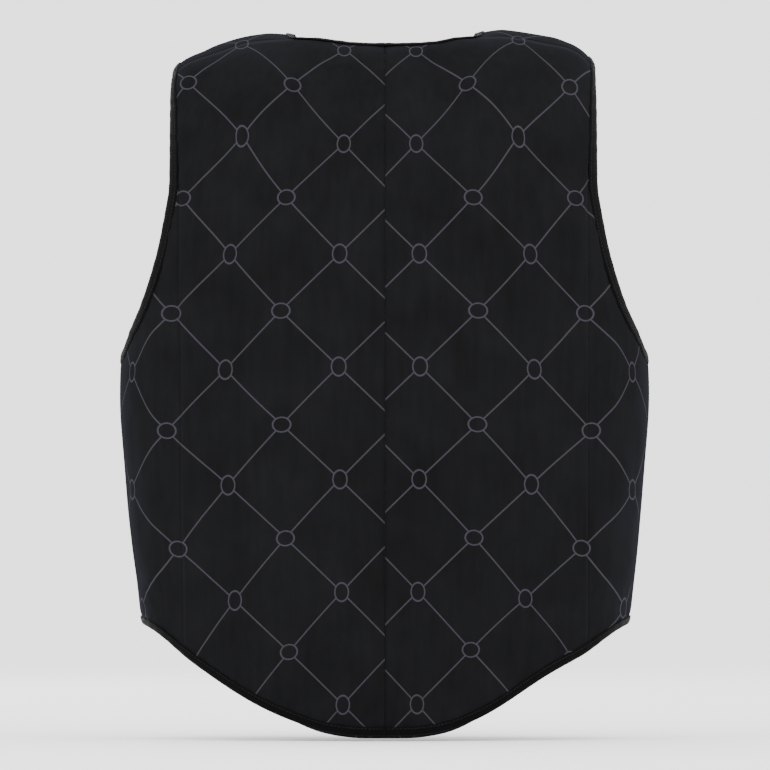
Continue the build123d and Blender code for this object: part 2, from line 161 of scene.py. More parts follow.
def onto_form(points):
    """Points brought on to the form's face along its normals, each by a few millimetres at most."""
    moved = points.copy()
    for _ in range(3):
        normals = outward(moved)
        d = 0.5 * MM
        ahead, behind = (filled(*np.moveaxis(moved + normals * way, -1, 0)) for way in (d, -d))
        off = (filled(*np.moveaxis(moved, -1, 0)) - 1) / np.maximum((ahead - behind) / (2 * d), 1.0)
        moved = moved - normals * np.clip(off, -2 * MM, 2 * MM)[..., None]
    return points + np.clip(moved - points, -4 * MM, 4 * MM)


def ridge(x, y):
    """Height of the shoulder's outer face."""
    return solve(lambda z: filled(x, y, z) < 1, 0.4, TOP, x + y)


def wall(x, z, side):
    """How far aft, or forward, the back or the front stands at a place across and a height."""
    depth = smooth(LEVELS, z, 3 if side > 0 else 2)
    inside = np.clip(1 - np.abs(x / smooth(LEVELS, z)) ** ROUNDNESS, 0, 1)
    return side * depth * inside ** (1 / ROUNDNESS)


def radial(x, y, degrees, z):
    """Points on the form along a direction from an upright centre line."""
    dx, dy = np.cos(np.radians(degrees)), np.sin(np.radians(degrees))
    reach = solve(lambda r: filled(x + r * dx, y + r * dy, z) < 1, 0, 0.3, x + z)
    return np.stack((x + reach * dx, y + reach * dy, z + 0 * reach), -1)


def ramp(value, low, high):
    """0 below low, 1 above high and smooth between them."""
    t = np.clip((value - low) / (high - low), 0, 1)
    return t * t * (3 - 2 * t)


def hump(value, middle, width):
    """1 at the middle, fading to nothing a few widths away."""
    return np.exp(-(((value - middle) / width) ** 2))


def neck_end(x):
    """How far aft of the shoulder line the back neckline lies."""
    return BEND + (BACK_NECK_Y - BEND) * (1 - np.minimum(np.abs(x) / NECK_X, 1) ** 2.5)


def back_top(x):
    """Height of the back's upper edge: the neckline, or the shoulder line."""
    y = neck_end(x)
    return solve(lambda z: filled(x, y, z) < 1, 0.3, TOP, x)


def front_top(x):
    """Height of the front's upper edge: a scoop, or the shoulder line."""
    climb = solve(lambda z: filled(x, -BEND + 0 * x, z) < 1, 0.3, TOP, x)
    corner = solve(lambda z: filled(NECK_X, -BEND, z) < 1, 0.3, TOP, 0.0)
    scoop = FRONT_NECK_Z + (corner - FRONT_NECK_Z) * np.minimum(np.abs(x) / NECK_X, 1) ** 3
    return np.minimum(climb, scoop)


def hem(points):
    """Height of the hem at stations, given their points at the front hem's height."""
    x, y = points[..., 0], points[..., 1]
    return np.where(y > 0, smooth(BACK_HEM, np.abs(x)), FRONT_HEM)


def settle(points):
    """The small ways in which the worn, padded vest differs from its true form."""
    x, y, z = np.moveaxis(points.copy(), -1, 0)
    high = ramp(z, 0.50, 0.57)
    # the right shoulder stands a little taller, with a small step where it leaves the neck
    lift = 3.2 * MM * hump(x, -0.100, 0.042) + 1.6 * MM * hump(x, -0.060, 0.012) * ramp(y, -0.02, 0.03)
    # and both shoulders are full out to the arm openings
    full = 7.5 * MM * hump(x, -0.163, 0.024) + 2.0 * MM * hump(x, 0.170, 0.012)
    full = full + 2.6 * MM * hump(x, 0.058, 0.024)
    z = z + high * (lift + full - 0.4 * MM - 2.2 * MM * hump(x, 0.138, 0.018))
    # the hem rides a little higher on the right
    z = z + 7.5 * MM * hump(x, -0.128, 0.042) * ramp(0.13 - z, 0, 0.07) * ramp(y, 0, 0.05)
    # the shoulders fall a little towards the neck
    z = z - 3.4 * MM * ramp(0.100 - np.abs(x), 0, 0.028) * ramp(0.047 - np.abs(y), 0, 0.02) * ramp(z, 0.5, 0.56)
    # the left side and the edge of its arm opening stand a little further out
    wide = 1.7 * MM * ramp(z, 0.12, 0.2) + 1.9 * MM * ramp(z, 0.31, 0.37) - 3.6 * MM * ramp(z, 0.535, 0.575)
    x = x + wide * ramp(x, 0.13, 0.168) - 0.9 * MM * ramp(-x, 0.13, 0.168) * ramp(0.57 - z, 0, 0.05)
    # slow swells of the padding, fore and aft
    swell = 0.9 * np.sin(21 * x + 9 * z + 0.7) * np.sin(15 * z + 1.1) + 0.5 * np.sin(47 * x - 23 * z)
    y = y + np.sign(y) * swell * MM * ramp(np.abs(y), 0.045, 0.09) * ramp(0.575 - z, 0, 0.05)
    return np.stack((x, y, z), -1)


# ---------------------------------------------------------------- panels, as grids of points
def spaced(length, step=STEP):
    """How many points lie about a step apart along a length."""
    return max(int(round(length / step)), 2) + 1


def whole(along, edge):
    """A panel's own edge, as it is."""
    return edge


def risers(bottom, top, step):
    """At every station, heights from a lower to an upper edge."""
    share = np.linspace(0, 1, spaced((top - bottom).max(), step))[None, :]
    return bottom[:, None] + (top - bottom)[:, None] * share


def flat_grid(x_from, x_to, front, step=STEP, low=whole, high=whole, flare=True):
    """A panel of the back or the front, from its hem to its upper edge."""
    side = -1 if front else 1
    xs = np.linspace(x_from, x_to, spaced(x_to - x_from, step))
    bottom = FRONT_HEM + 0 * xs if front else smooth(BACK_HEM, np.abs(xs))
    spread = flare * (COVER_X - CORNER_X) * np.clip((xs - FLARE_X) / (CORNER_X - FLARE_X), 0, 1) ** 2
    top = (front_top if front else back_top)(xs + spread)
    along = lengths(np.stack((xs, wall(xs, WIDEST_Z, side), 0 * xs), -1), 0)
    z = risers(low(along, bottom), high(along, top), step)
    x = xs[:, None] + spread[:, None] * ramp(z, *FLARE_HEIGHTS)
    return np.stack((x, wall(x, z, side), z), -1)


def round_grid(x, y, turn, step=STEP, low=whole, high=whole):
    """A panel that goes round the side by way of stations, each with a centre and a direction."""
    foot = radial(x, y, turn, FRONT_HEM)
    along = lengths(foot, 0)
    arm_edge = smooth(ARM_EDGE, radial(x, y, turn, ARM_EDGE_AT)[:, 0])
    z = risers(low(along, hem(foot)), high(along, arm_edge), step)
    return radial(x[:, None], y[:, None], turn[:, None], z)


def side_grid():
    """The panel round the wearer's side, from the back by way of both corners to the front."""
    corner = np.linspace(90, 0, spaced(95 * MM))
    ys = np.linspace(BEND, -BEND, spaced(2 * BEND))[1:-1]
    y = np.concatenate((BEND + 0 * corner, ys, 0 * corner - BEND))
    return round_grid(CORNER_X + 0 * y, y, np.concatenate((corner, 0 * ys, -corner[::-1])))


def corner_grid(front, step, low, high):
    """A panel round one corner only."""
    away = -1 if front else 1
    turns = np.linspace(86, 2, spaced(80 * MM, step)) * away
    return round_grid(CORNER_X + 0 * turns, BEND * away + 0 * turns, turns, step, low, high)


def shoulder_grid(x_from, x_to, step=STEP, reach=BEND):
    """The arch over the wearer's left shoulder, from the back to the front."""
    share = np.linspace(0, 1, spaced(x_to - x_from, step))[:, None]
    ys = np.linspace(reach, -reach, spaced(1.3 * 2 * reach, step))[None, :]
    inner = x_from + NECK_BOW * (1 - (ys / BEND) ** 2)
    x, y = inner + (x_to - inner) * share, ys + 0 * share
    return np.stack((x, y, ridge(x, y)), -1)


# ---------------------------------------------------------------- meshes
def mesh_object(name, points, faces, material):
    """A smooth-shaded object made of points and faces."""
    mesh = bpy.data.meshes.new(name)
    mesh.from_pydata([tuple(p) for p in np.asarray(points).reshape(-1, 3)], [], faces)
    mesh.polygons.foreach_set("use_smooth", [True] * len(mesh.polygons))
    mesh.materials.append(material)
    mesh.update()
    obj = bpy.data.objects.new(name, mesh)
    bpy.context.scene.collection.objects.link(obj)
    return obj


def set_print(obj, values):
    """Give every point of a mesh the two coordinates that its material's pattern reads."""
    values = np.asarray(values, float).reshape(-1, 2)
    vectors = np.column_stack((values, 0 * values[:, 0])).astype(np.float32)
    obj.data.attributes.new("print", "FLOAT_VECTOR", "POINT").data.foreach_set("vector", vectors.ravel())


def grid_faces(columns, rows, start=0, flip=False):
    """The faces between the points of a grid, whose first point has the index start."""
    faces = []
    for c in range(columns - 1):
        for r in range(rows - 1):
            a = start + c * rows + r
            quad = (a, a + 1, a + rows + 1, a + rows)
            faces.append(quad[::-1] if flip else quad)
    return faces


def rim(columns, rows):
    """The border of a grid, as indices that go once round it."""
    return (
        [c * rows for c in range(columns)]
        + [(columns - 1) * rows + r for r in range(1, rows)]
        + [c * rows + rows - 1 for c in range(columns - 2, -1, -1)]
        + list(range(rows - 2, 0, -1))
    )


def closed(name, outer, inner, material, side=1, coordinates=None):
    """A closed thin piece between an outer and an inner grid, on the wearer's left or, with side -1, right."""
    columns, rows = outer.shape[:2]
    half = columns * rows
    points = np.concatenate((outer.reshape(-1, 3), inner.reshape(-1, 3)))
    points[:, 0] *= side
    faces = grid_faces(columns, rows) + grid_faces(columns, rows, half, True)
    border = rim(columns, rows)
    for a, b in zip(border, border[1:] + border[:1]):
        faces.append((a, b, b + half, a + half))
    # the outer face has to look outwards
    normal = np.cross(outer[1, 0] - outer[0, 0], outer[0, 1] - outer[0, 0])
    away = outer[0, 0] - inner[0, 0]
    if (normal @ away > 0) == (side > 0):
        faces = [face[::-1] for face in faces]
    obj = mesh_object(name, settle(points), faces, material)
    # the narrow rim is shaded apart from the two faces
    flags = [True] * (len(faces) - len(border)) + [False] * len(border)
    obj.data.polygons.foreach_set("use_smooth", flags)
    if coordinates is not None:
        set_print(obj, np.concatenate((coordinates, coordinates)))
    return obj


def lengths(points, axis):
    """How far each point of a grid lies from the grid's edge, along its columns (0) or its rows (1)."""
    gaps = np.linalg.norm(np.diff(points, axis=axis), axis=-1)
    along = np.cumsum(gaps, axis=axis)
    zero = np.zeros_like(np.take(along, [0], axis))
    return np.concatenate((zero, along), axis=axis)


def slant(edge):
    """What share of an upright distance from a sloping edge is left when it is measured square to the edge."""
    step = np.gradient(edge, axis=0)
    return (np.hypot(step[:, 0], step[:, 1]) / np.maximum(np.linalg.norm(step, axis=-1), 1e-9))[:, None]


def edge_distance(points):
    """Distance of each point of a grid from its foot, its top and its two upright edges."""
    up, across = lengths(points, 1), lengths(points, 0)
    foot, top = up * slant(points[:, 0]), (up[:, -1:] - up) * slant(points[:, -1])
    return foot, top, across, across[-1:] - across


# ---------------------------------------------------------------- materials
def linear(*srgb):
    """A colour as a shader takes it, from its everyday 0 to 255 values."""
    return tuple((c / 255 / 12.92 if c < 11 else ((c / 255 + 0.055) / 1.055) ** 2.4) for c in srgb) + (1.0,)


class Look:
    """A material under construction: its shader, and short ways to add nodes."""

    def __init__(self, name, roughness, colour=None, metallic=0.0, sheen=0.0, specular=0.5):
        self.material = bpy.data.materials.new(name)
        self.material.use_nodes = True
        self.tree = self.material.node_tree
        self.shader = self.tree.nodes["Principled BSDF"]
        self.set("Roughness", roughness)
        self.set("Metallic", metallic)
        self.set("Specular IOR Level", specular)
        if sheen:
            self.set("Sheen Weight", sheen)
            self.set("Sheen Roughness", 0.5)
        if colour:
            self.set("Base Color", colour)

    def set(self, socket, value):
        self.shader.inputs[socket].default_value = value

    def node(self, kind, inputs=(), output=0, **settings):
        """An output of a new node, whose inputs are given in order or by name."""
        node = self.tree.nodes.new(kind)
        for key, value in settings.items():
            setattr(node, key, value)
        for socket, value in inputs.items() if isinstance(inputs, dict) else enumerate(inputs):
            self.plug(value, node.inputs[socket])
        return node.outputs[output]

    def plug(self, value, socket):
        if isinstance(value, bpy.types.NodeSocket):
            self.tree.links.new(value, socket)
        else:
            socket.default_value = value

    def math(self, operation, *values):
        return self.node("ShaderNodeMath", values, operation=operation)

    def band(self, value, low, high):
        """1 where the value is below low, 0 above high."""
        return self.node("ShaderNodeMapRange", (value, low, high, 1.0, 0.0), interpolation_type="SMOOTHSTEP")

    def spread(self, value, low, high):
        """Stretch a 0 to 1 value over a range."""
        return self.node("ShaderNodeMapRange", (value, 0.0, 1.0, low, high))

    def place(self):
        """Where a point is."""
        return self.node("ShaderNodeTexCoord", output="Object")

    def split(self, vector):
        """A vector's three numbers."""
        return self.node("ShaderNodeSeparateXYZ", (vector,)).node.outputs

    def pattern(self):
        """The two coordinates that a mesh carries for its material's pattern."""
        return self.split(self.node("ShaderNodeAttribute", output="Vector", attribute_name="print"))[:2]

    def stretched(self, vector, scale):
        return self.node("ShaderNodeMapping", {"Vector": vector, "Scale": scale})

    def noise(self, vector, scale, detail=3.0):
        inputs = {"Vector": vector, "Scale": scale, "Detail": detail, "Roughness": 0.55}
        return self.node("ShaderNodeTexNoise", inputs)

    def wave(self, value, pitch):
        """A smooth ripple of a pitch, from 0 to 1."""
        turned = self.math("SINE", self.math("MULTIPLY", value, 2 * pi / pitch))
        return self.math("MULTIPLY_ADD", turned, 0.5, 0.5)

    def blend(self, first, first_share, second, second_share):
        """The sum of two values, each times its share."""
        return self.math("MULTIPLY_ADD", first, first_share, self.math("MULTIPLY", second, second_share))

    def mix(self, share, first, second):
        """A colour between two others."""
        return self.node("ShaderNodeMix", {0: share, 6: first, 7: second}, output=2, data_type="RGBA")

    def bump(self, height, distance, strength=1.0, under=None):
        """Normals bent by a height, on top of those of another bump if there is one under it."""
        inputs = {"Height": height, "Distance": distance, "Strength": strength}
        if under is not None:
            inputs["Normal"] = under
        return self.node("ShaderNodeBump", inputs)

    def finish(self, colour, roughness, normal):
        for socket, value in (("Base Color", colour), ("Roughness", roughness), ("Normal", normal)):
            self.plug(value, self.shader.inputs[socket])
        return self.material


# the printed lattice: distance of its first column from the seam, and the steps between its rings
LATTICE_START = 38.3 * MM
LATTICE_FOOT = 31.6 * MM
LATTICE_ACROSS = 48.3 * MM
LATTICE_UP = 46.6 * MM
RIGHT_SHIFT = 9.3 * MM  # the right half's print starts this much nearer to the seam
LINE = 0.6 * MM  # half width of a printed line
RING = (6.0 * MM, 7.6 * MM)  # half sizes of a printed ring


def lattice(look):
    """A share from 0 to 1 that is 1 on the print: thin lines between plain oval rings."""
    across, up = look.pattern()
    a = look.math("DIVIDE", look.math("SUBTRACT", across, LATTICE_START), LATTICE_ACROSS)
    b = look.math("DIVIDE", look.math("SUBTRACT", up, LATTICE_FOOT), LATTICE_UP)
    rising = look.math("MULTIPLY", look.math("SUBTRACT", a, b), 0.5)
    falling = look.math("MULTIPLY", look.math("ADD", a, b), 0.5)
    nearest = [look.math("ROUND", value) for value in (rising, falling)]
    off = [look.math("SUBTRACT", value, near) for value, near in zip((rising, falling), nearest)]
    spacing = 2 * LATTICE_ACROSS * LATTICE_UP / (LATTICE_ACROSS**2 + LATTICE_UP**2) ** 0.5
    apart = look.math("MINIMUM", *(look.math("ABSOLUTE", value) for value in off))
    lines = look.band(look.math("MULTIPLY", apart, spacing), LINE * 0.6, LINE * 1.4)
    # the place within the ring at the nearest crossing
    right = look.math("MULTIPLY", look.math("ADD", off[1], off[0]), LATTICE_ACROSS)
    rise = look.math("MULTIPLY", look.math("SUBTRACT", off[1], off[0]), LATTICE_UP)
    odd = look.math("FLOORED_MODULO", look.math("ADD", *nearest), 2.0)
    wide = look.math("MULTIPLY_ADD", odd, RING[1] - RING[0], RING[0])
    tall = look.math("MULTIPLY_ADD", odd, RING[0] - RING[1], RING[1])
    shares = [look.math("DIVIDE", *pair) for pair in ((right, wide), (rise, tall))]
    oval = look.math("SQRT", look.math("ADD", *(look.math("MULTIPLY", share, share) for share in shares)))
    from_ring = look.math("ABSOLUTE", look.math("MULTIPLY", look.math("SUBTRACT", oval, 1.0), sum(RING) / 2))
    ring = look.band(from_ring, LINE * 0.7, LINE * 1.5)
    outside = look.band(oval, 1.02, 0.94)
    return look.math("MAXIMUM", ring, look.math("MULTIPLY", lines, outside))


def cover_fabric(name="cover_fabric", printed=True):
    """Dark woven stretch fabric, with a thin pale lattice printed on it if wanted."""
    look = Look(name, 0.85, sheen=0.03, specular=0.0)
    look.set("Sheen Tint", linear(196, 200, 224))
    place = look.place()
    across, up = look.pattern()
    streaks = look.noise(look.stretched(place, (1.0, 1.0, 0.12)), 160.0)
    shade = look.blend(streaks, 0.35, look.noise(place, 22.0, 4.0), 0.65)
    colour = look.mix(look.spread(shade, -0.6, 1.6), linear(15, 15, 15), linear(22, 22, 24))
    threads = look.math("MULTIPLY", look.wave(across, 1.3 * MM), look.wave(up, 1.1 * MM))
    height = look.blend(threads, 0.6, look.noise(place, 1400.0, 2.0), 0.5)
    if printed:
        print_share = lattice(look)
        ink = look.mix(look.noise(place, 900.0, 2.0), linear(40, 38, 43), linear(58, 55, 63))
        colour = look.mix(print_share, colour, ink)
        height = look.math("MULTIPLY_ADD", print_share, 0.5, height)
    soft = look.bump(look.noise(place, 60.0), 0.0006, 0.35)
    rough = look.spread(look.noise(place, 90.0), 0.70, 0.86)
    return look.finish(colour, rough, look.bump(height, 0.00012, 0.7, soft))


def binding_tape():
    """Black ribbed tape. Its mesh carries the length along it and the distance across it."""
    look = Look("binding_tape", 0.85, sheen=0.01, specular=0.05)
    place = look.place()
    along, across = look.pattern()
    ribs = look.wave(along, 1.1 * MM)
    shade = look.blend(look.noise(place, 220.0), 0.6, ribs, 0.4)
    colour = look.mix(shade, linear(1, 1, 1), linear(5, 5, 6))
    height = look.math("MULTIPLY_ADD", look.wave(across, 0.8 * MM), 0.35, ribs)
    puckers = look.bump(look.noise(place, 130.0, 2.0), 0.0008, 0.4)
    rough = look.spread(look.noise(place, 300.0), 0.6, 0.82)
    return look.finish(colour, rough, look.bump(height, 0.00022, 0.8, puckers))


def spacer_mesh():
    """Open spacer mesh: rows of small round holes, half a step apart, in a knitted ground. The holes are
    painted near black, as painted shade in their depth.
    """
    look = Look("spacer_mesh", 0.82, sheen=0.12, specular=0.25)
    pitch = 3.2 * MM
    steps = [look.math("MULTIPLY", value, 1 / pitch) for value in look.pattern()]
    distances = []
    for shift in (0.0, 0.5):
        moved = [look.math("ADD", value, shift) for value in steps]
        offs = [look.math("SUBTRACT", value, look.math("ROUND", value)) for value in moved]
        squares = [look.math("MULTIPLY", value, value) for value in offs]
        distances.append(look.math("SQRT", look.math("ADD", *squares)))
    shaded_hole = look.band(look.math("MINIMUM", *distances), 0.17, 0.27)
    place = look.place()
    ground = look.mix(look.noise(place, 60.0), linear(22, 22, 25), linear(38, 38, 43))
    # painted shade: the holes are coloured near black for the darkness inside them
    colour = look.mix(shaded_hole, ground, linear(6, 6, 7))
    height = look.math("SUBTRACT", look.math("MULTIPLY", look.noise(place, 1500.0), 0.2), shaded_hole)
    return look.finish(colour, look.spread(look.noise(place, 200.0), 0.72, 0.9), look.bump(height, 0.0006, 0.9))


def closed_cell_foam():
    """Grey foam with fine cells."""
    look = Look("closed_cell_foam", 0.9, specular=0.2)
    place = look.place()
    cells = look.node("ShaderNodeTexVoronoi", {"Vector": place, "Scale": 900.0}, output="Distance")
    shade = look.noise(place, 40.0, 4.0)
    colour = look.mix(shade, linear(70, 72, 78), linear(104, 106, 112))
    return look.finish(colour, look.spread(shade, 0.8, 0.95), look.bump(cells, 0.0004, 0.7))


def woven(name, dark, pale, pitch=1.2 * MM):
    """Plain woven cloth, between a dark and a pale shade."""
    look = Look(name, 0.7, sheen=0.1, specular=0.3)
    place = look.place()
    x, _, z = look.split(place)
    threads = look.math("MULTIPLY", look.wave(x, pitch), look.wave(z, pitch))
    shade = look.blend(threads, 0.5, look.noise(place, 300.0), 0.5)
    colour = look.mix(shade, linear(*dark), linear(*pale))
    return look.finish(colour, look.spread(look.noise(place, 400.0), 0.6, 0.8), look.bump(threads, 0.0002, 0.8))


def moulded():
    """Black moulded plastic."""
    look = Look("moulded_tooth", 0.42)
    place = look.place()
    worn = look.noise(place, 500.0)
    colour = look.mix(worn, linear(12, 12, 14), linear(34, 34, 38))
    grain = look.bump(look.noise(place, 2500.0), 0.00008, 0.6)
    return look.finish(colour, look.spread(worn, 0.32, 0.55), grain)


def dark_metal():
    """Black-plated zinc, with the plating thin along its edges."""
    look = Look("dark_metal", 0.3, metallic=1.0)
    place = look.place()
    scratches = look.noise(look.stretched(place, (1.0, 1.0, 0.2)), 1800.0, 4.0)
    worn = look.band(look.node("ShaderNodeNewGeometry", output="Pointiness"), 0.56, 0.50)
    plating = look.mix(scratches, linear(58, 58, 62), linear(88, 88, 92))
    colour = look.mix(worn, plating, linear(150, 148, 144))
    return look.finish(colour, look.spread(scratches, 0.22, 0.45), look.bump(scratches, 0.00005, 0.5))


def blank_fabric():
    """Pale satin, for a label with nothing on it."""
    look = Look("label_satin", 0.5, sheen=0.2, specular=0.4)
    place = look.place()
    x, _, z = look.split(place)
    satin = look.wave(look.math("ADD", x, look.math("MULTIPLY", z, 0.25)), 0.7 * MM)
    shade = look.blend(satin, 0.4, look.noise(place, 150.0), 0.6)
    colour = look.mix(shade, linear(176, 176, 172), linear(214, 213, 208))
    return look.finish(colour, look.spread(shade, 0.42, 0.6), look.bump(satin, 0.0001, 0.6))


def thread():
    """Thick black sewing thread."""
    look = Look("black_thread", 0.7, sheen=0.04, specular=0.12)
    twist = look.noise(look.place(), 2600.0, 2.0)
    colour = look.mix(twist, linear(6, 6, 7), linear(15, 15, 17))
    return look.finish(colour, look.spread(twist, 0.5, 0.75), look.bump(twist, 0.0001, 0.8))


COVER = cover_fabric()
TAPE = binding_tape()
MESH = spacer_mesh()
FOAM = closed_cell_foam()
THREAD = thread()
SIDES = (("left", 1), ("right", -1))


# ---------------------------------------------------------------- the print's coordinates
def narrowing(z):
    """The print is drawn in where the vest is narrower, up to the shoulder blades."""
    return smooth(LEVELS, np.minimum(z, FRONT_NECK_Z)) / WIDEST_X


def print_flat(points, side, front=False):
    """How far from the seam and how high up the cloth each point of a flat panel's print is."""
    across = points[..., 0] + 0.35 * (lengths(points, 0) + points[:1, :, 0] - points[..., 0])
    up = lengths(points, 1) + points[:, :1, 2]
    return print_warp(across / narrowing(points[..., 2]), up, side, front)


def print_warp(across, up, side, front=False):
    """The small drift of the print away from an even lattice."""
    if front:
        return np.stack((across + LATTICE_START - LATTICE_ACROSS / 2, up), -1)
    droop = 19 * MM * np.clip(1 - up / 0.42, 0, 1) * np.minimum(across / 0.18, 1.25) ** 2
    shift = RIGHT_SHIFT if side < 0 else 0
    # the print crowds in beside the arm openings, and climbs where the cloth is drawn over the shoulders
    crowd = 9 * MM * ramp(across, 0.08, 0.195) * ramp(up, 0.25, 0.36) * (1 - ramp(up, 0.42, 0.56))
    beside = ramp(across, 0.06, 0.13) if side > 0 else hump(across, 0.112, 0.035)
    climb = (11 * MM * beside - 4 * MM * (1 - ramp(across, 0.04, 0.09))) * ramp(up, 0.45, 0.56)
    return np.stack((across + shift + crowd, up + droop - climb), -1)


TURN_X = (185 * MM, 208 * MM)  # between these places across, the side turns away from a view from behind


def carry_on(points, edge_points, edge_print):
    """Coordinates of a panel whose print carries on from the outer edge of the panel before it."""
    z = points[..., 2]
    start, up = (np.interp(z, edge_points[:, 2], edge_print[:, k]) for k in (0, 1))
    # seen from behind, the lattice keeps its width until the cloth turns the corner
    turned = np.maximum.accumulate(ramp((points[1:, :, 0] + points[:-1, :, 0]) / 2, *TURN_X), axis=0)
    gaps = np.linalg.norm(np.diff(points, axis=0), axis=-1) * turned
    gaps = np.abs(np.diff(points[..., 0], axis=0)) * (1 - turned) + gaps
    across = np.concatenate((0 * z[:1], np.cumsum(gaps, axis=0)))
    return np.stack((start + across / narrowing(z), up), -1)


def print_over(shoulder, edge_x, edge_print):
    """Coordinates of a shoulder's print, which nearly meets the print along the back's upper edge."""
    across, up = (np.interp(shoulder[..., 0], edge_x, edge_print[:, k]) for k in (0, 1))
    level = up[:, :1].mean()
    return np.stack((across, level + 0.25 * (up - level) + lengths(shoulder, 1)), -1)


# ---------------------------------------------------------------- covers
def gathers(x, z):
    """Small upright gathers beside the seam at the spine, near the hem."""
    near = np.exp(-np.abs(x) / 0.045) * ramp(0.24 - z, 0, 0.2)
    return 0.8 * MM * np.sin(2 * pi * x / 0.0105 + 2.0 * np.sin(26 * z)) * near


def front_creases(x, z, end):
    """Slight slanting creases beside the front's outer seam."""
    return 0.25 * MM * np.sin(2 * pi * (z + 0.3 * x) / 0.034 + 5 * np.sin(9 * x)) * np.exp(-end / 0.03)


EDGE_DRAWN = (1.5 * MM, 6 * MM)  # how deep a bound edge is drawn in, and over what distance
SEAM_GROOVE = (0.45 * MM, 1.2 * MM)  # the depth and the half width of the groove at a seam
SEAM_DRAWN = (0.8 * MM, 10 * MM)  # how deep the cloth beside a seam is drawn in, and over what distance
SIDE_FULL = 1.3 * MM


def cover_relief(points, where, seam_at):
    """How far a cover stands out of the form: full over the padding, and drawn in at its edges."""
    foot, top, start, end = edge_distance(points)
    x, _, z = np.moveaxis(points, -1, 0)
    relief = 0 * foot
    if where != "shoulder":
        # the back and the fronts have a binding along their tops only beside the neck
        bound = 1 if where == "side" else 1 - ramp(np.abs(x), NECK_X - 2 * MM, NECK_X + 10 * MM)
        relief = -EDGE_DRAWN[0] * (np.exp(-foot / EDGE_DRAWN[1]) + bound * np.exp(-top / EDGE_DRAWN[1]))
    if seam_at:
        distance = {"start": start, "end": end}[seam_at]
        relief = relief - SEAM_GROOVE[0] * hump(distance, 0, SEAM_GROOVE[1])
        relief = relief - SEAM_DRAWN[0] * np.exp(-distance / SEAM_DRAWN[1])
    if where == "side":
        fuller = ramp(foot, 0.008, 0.07) * ramp(top, 0.010, 0.06) * ramp(np.minimum(start, end), 0, 0.045)
        relief = relief + SIDE_FULL * fuller
    if where == "back":
        relief = relief + gathers(x, z)
    if where == "front":
        relief = relief + front_creases(x, z, end)
    return relief


# the cover's cloth is cut this much larger than its place, and stands out of it at most this far
CLOTH_EASE = 0.007
CLOTH_CAP = {"back": 3.2 * MM, "front": 3.2 * MM, "side": 1.2 * MM}
CLOTH_SEWN = 9 * MM  # the border that is sewn down
CLOTH_SEEDS = {1: 7, -1: 8}  # of the slight unevenness that the cloth starts with, for the left and the right
CLOTH_STEP = 2  # one point in two of a panel's grid takes part in the simulation
CLOTH_FRAMES = 16


def puffed(grid, sewn, flip):
    """Where a grid of cloth comes to rest, sewn down at some of its points and pressed outwards."""
    cloth = mesh_object("cloth_trial", grid, grid_faces(*sewn.shape, flip=flip), COVER)
    cloth.vertex_groups.new(name="sewn").add(np.flatnonzero(sewn).tolist(), 1.0, "REPLACE")
    modifier = cloth.modifiers.new("cloth", "CLOTH")
    fabric = modifier.settings
    fabric.vertex_group_mass = "sewn"
    fabric.quality, fabric.mass, fabric.air_damping = 4, 0.15, 2.0
    fabric.tension_stiffness = fabric.compression_stiffness = 12.0
    fabric.shear_stiffness, fabric.bending_stiffness = 4.0, 0.6
    fabric.shrink_min = -CLOTH_EASE
    fabric.use_pressure, fabric.uniform_pressure_force = True, 0.6
    fabric.effector_weights.gravity = 0
    modifier.point_cache.frame_start, modifier.point_cache.frame_end = 1, CLOTH_FRAMES
    for number in range(1, CLOTH_FRAMES + 1):
        bpy.context.scene.frame_set(number)
    result = cloth.evaluated_get(bpy.context.evaluated_depsgraph_get()).data
    moved = np.empty(grid.size, np.float32)
    result.vertices.foreach_get("co", moved)
    mesh = cloth.data
    bpy.data.objects.remove(cloth)
    bpy.data.meshes.remove(mesh)
    bpy.context.scene.frame_set(1)
    return moved.reshape(grid.shape)


def cloth_relief(points, where, side):
    """How far a panel's cloth stands out over its padding, simulated on a coarser grid."""
    if where not in CLOTH_CAP:
        return 0 * points[..., 0]
    picks = [np.unique(np.append(np.arange(0, count, CLOTH_STEP), count - 1)) for count in points.shape[:2]]
    flat = points[np.ix_(*picks)]
    normals = outward(flat)
    border = np.minimum.reduce(edge_distance(flat))
    uneven = np.random.default_rng(CLOTH_SEEDS[side]).uniform(-0.2, 0.4, border.shape)
    start = flat + normals * (uneven * MM * ramp(border, 0, 0.02))[..., None]
    flip = np.cross(flat[1, 0] - flat[0, 0], flat[0, 1] - flat[0, 0]) @ normals[0, 0] > 0
    stands = ((puffed(start, border < CLOTH_SEWN, flip) - flat) * normals).sum(-1)
    cap = CLOTH_CAP[where]
    stands = np.maximum(cap * np.tanh(stands / cap), -0.5 * MM)
    # back to the full grid, and smoothed
    rows = np.stack([np.interp(np.arange(points.shape[1]), picks[1], row) for row in stands])
    full = np.stack([np.interp(np.arange(points.shape[0]), picks[0], column) for column in rows.T], -1)
    for _ in range(2):
        ease(full)
        ease(full.T)
    return full


def hold(piece, part, side_name):
    """The back and the fronts ride their own bodies. Every other piece is fixed where it lies."""
    if part == "back":
        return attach(piece, "back")
    if part == "front":
        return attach(piece, f"front_{side_name}")
    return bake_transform(piece)


def cover(points, part, side_name, side, coordinates, seam_at=None):
    """One panel of the printed cover."""
    normals = outward(points)
    relief = (cover_relief(points, part, seam_at) + cloth_relief(points, part, side))[..., None]
    outer, inner = points + normals * relief, points + normals * (relief - 1.1 * MM)
    piece = closed(f"{part}_panel_fabric_{side_name}", outer, inner, COVER, side, coordinates)
    hold(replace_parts(piece, f"{part}_cover_{side_name}"), part, side_name)
    flat_sheet(points)


def flat_sheet(points):
    """How wide and how long a panel measures along its cloth; the two lengths are not used."""
    width, length = lengths(points, 0)[-1].min(), lengths(points, 1)[:, -1].max()


